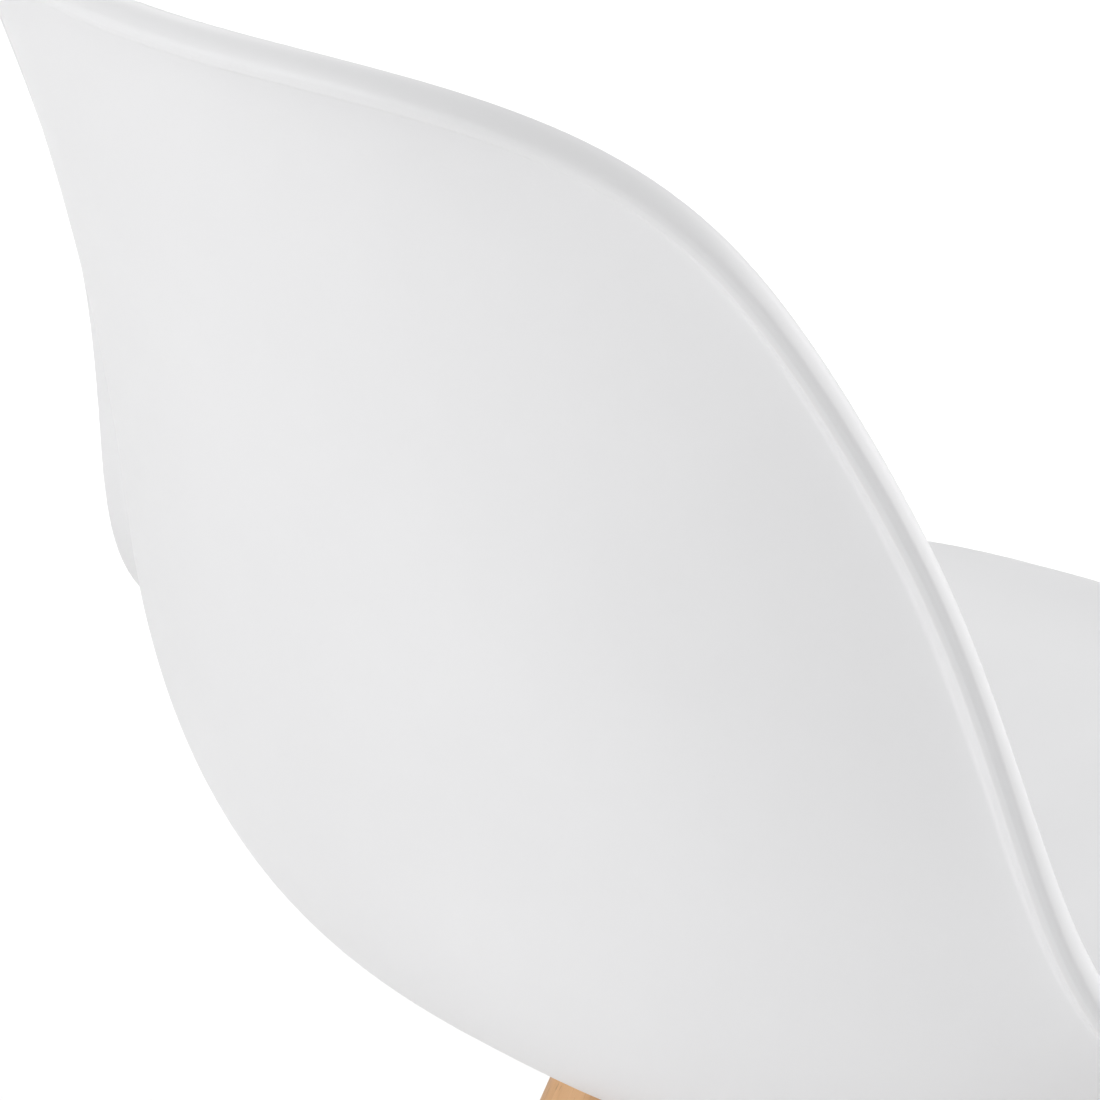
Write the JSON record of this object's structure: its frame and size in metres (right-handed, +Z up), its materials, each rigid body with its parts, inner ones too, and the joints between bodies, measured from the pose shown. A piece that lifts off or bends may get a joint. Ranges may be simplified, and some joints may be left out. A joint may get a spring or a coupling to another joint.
{
  "type": "chair",
  "caption": "Dining side chair: a white moulded plastic shell with a rolled edge on splayed round wooden legs braced by crossed black steel rods.",
  "frame": {"origin": "on the floor, under the middle of the bounding box across X and Y", "axes": "+Z up, the sitter faces -Y, the sitter's left is +X"},
  "size_m": [0.478, 0.5328, 0.8047],
  "materials": {
    "shell_plastic": "semi-matte moulded white polypropylene",
    "insert_brass": "plain turned brass",
    "pad_rubber": "matt black rubber",
    "leg_wood": "light beech with a clear matt varnish",
    "frame_steel": "black powder coat",
    "black_fasteners": "blackened steel",
    "glide_nylon": "black moulded nylon"
  },
  "bodies": {
    "root": {"seat_shell": "shell_plastic", "shell_inserts": "insert_brass", "shock_mounts": "pad_rubber", "seat_bolts": "black_fasteners", "seat_washers": "black_fasteners", "leg_front_left": "leg_wood", "leg_front_right": "leg_wood", "leg_rear_left": "leg_wood", "leg_rear_right": "leg_wood", "glide_front_left": "glide_nylon", "glide_front_right": "glide_nylon", "glide_rear_left": "glide_nylon", "glide_rear_right": "glide_nylon", "bracket_front_left": "frame_steel", "bracket_front_right": "frame_steel", "bracket_rear_left": "frame_steel", "bracket_rear_right": "frame_steel", "brace_front_a": "frame_steel", "brace_front_b": "frame_steel", "brace_rear_a": "frame_steel", "brace_rear_b": "frame_steel", "brace_left_a": "frame_steel", "brace_left_b": "frame_steel", "brace_right_a": "frame_steel", "brace_right_b": "frame_steel", "upper_leg_bolts": "black_fasteners", "upper_leg_washers": "black_fasteners", "upper_leg_cap_nuts": "black_fasteners", "lower_leg_bolts": "black_fasteners", "lower_leg_washers": "black_fasteners", "lower_leg_cap_nuts": "black_fasteners"}
  },
  "joints": []
}
